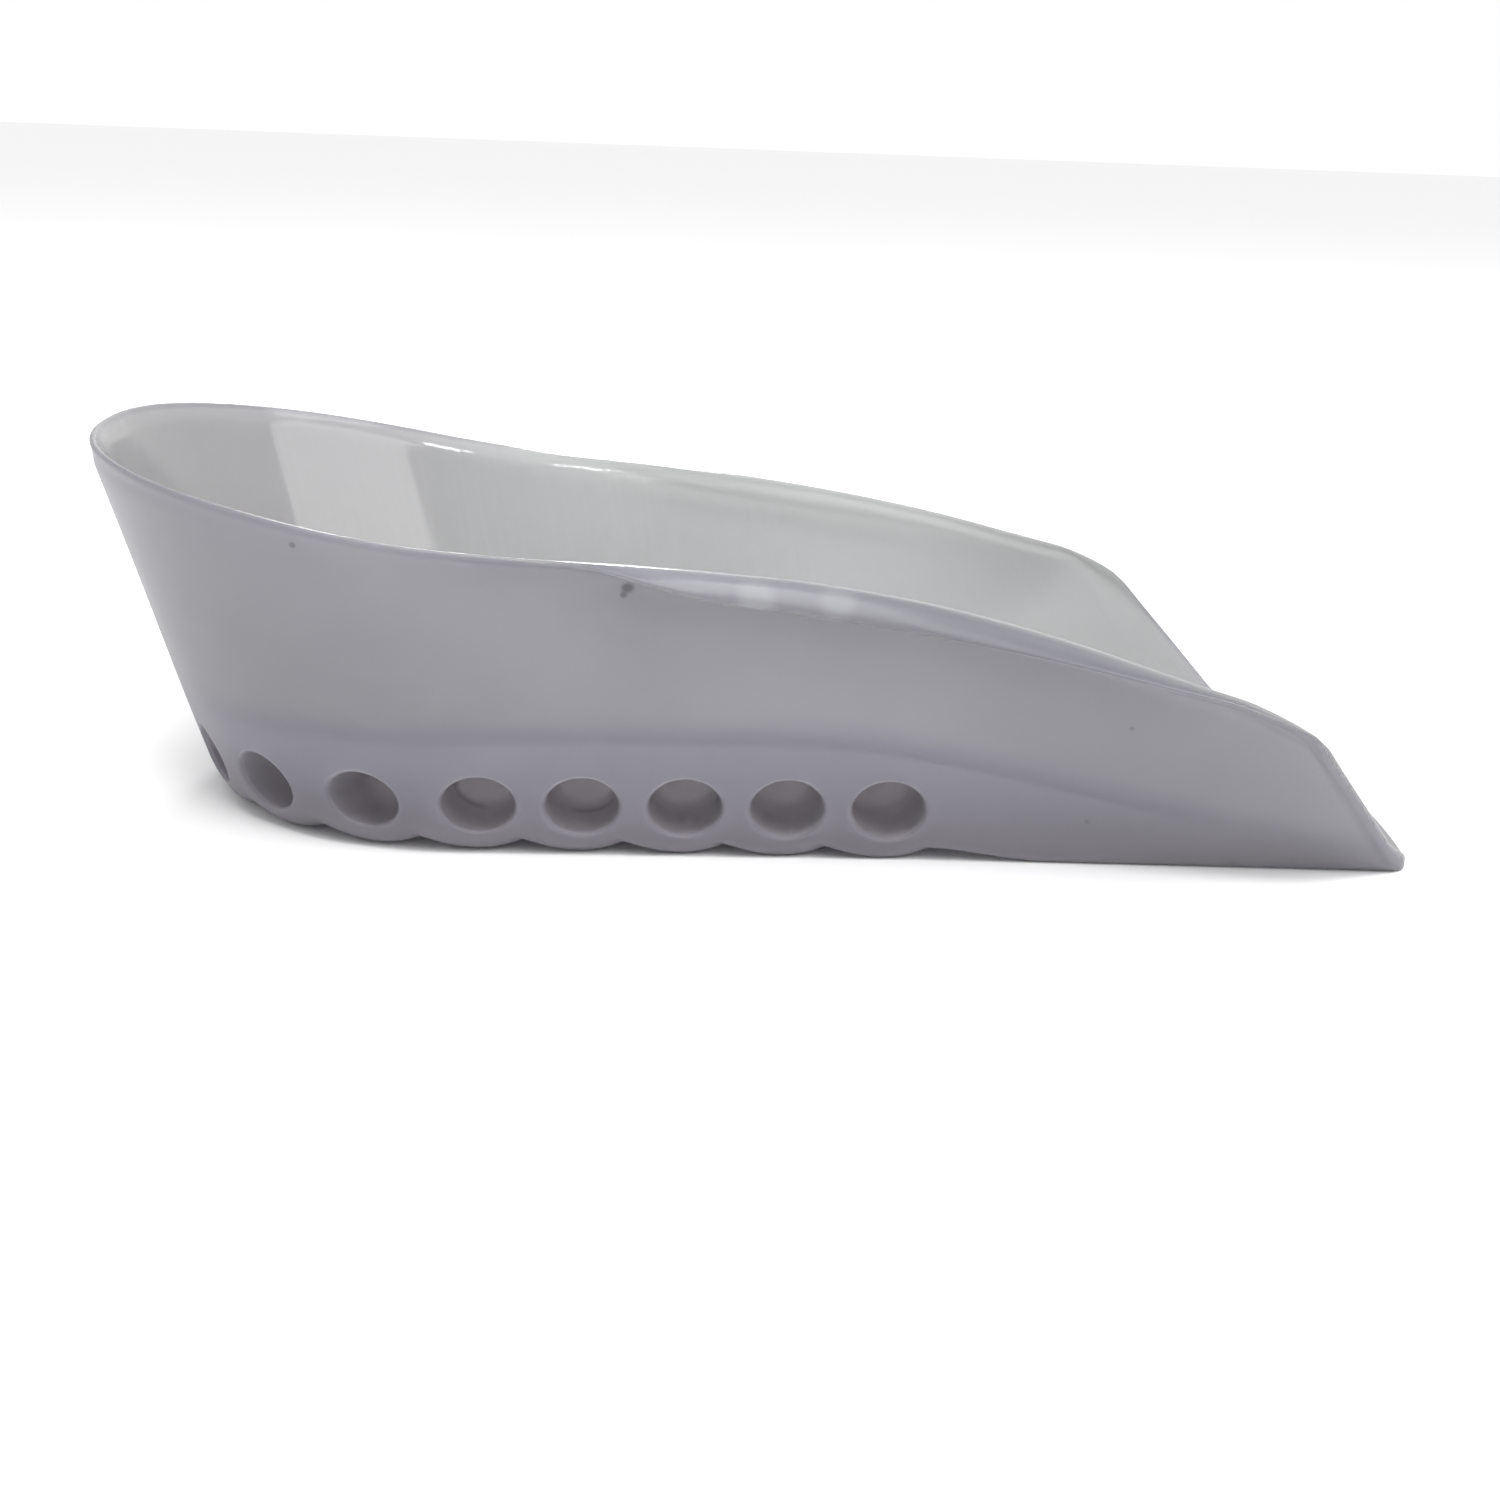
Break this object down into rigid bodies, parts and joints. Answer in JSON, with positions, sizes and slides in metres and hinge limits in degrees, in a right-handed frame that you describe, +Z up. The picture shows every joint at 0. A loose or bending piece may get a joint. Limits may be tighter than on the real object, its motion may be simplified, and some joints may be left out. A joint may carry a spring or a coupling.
{
  "type": "heel cup",
  "caption": "Translucent grey silicone heel cup: a flared thin-walled cup, open at the front, on a wedge sole with scalloped edge and cored air pockets.",
  "frame": {"origin": "middle of the cup's box in plan, on the surface that the cup stands on", "axes": "+X from the heel towards the toes, +Z up, Y across; the two sides are alike"},
  "size_m": [0.111, 0.0686, 0.0312],
  "materials": {
    "silicone": "glossy translucent grey silicone"
  },
  "bodies": {
    "root": {"heel_cup": "silicone"}
  },
  "joints": []
}
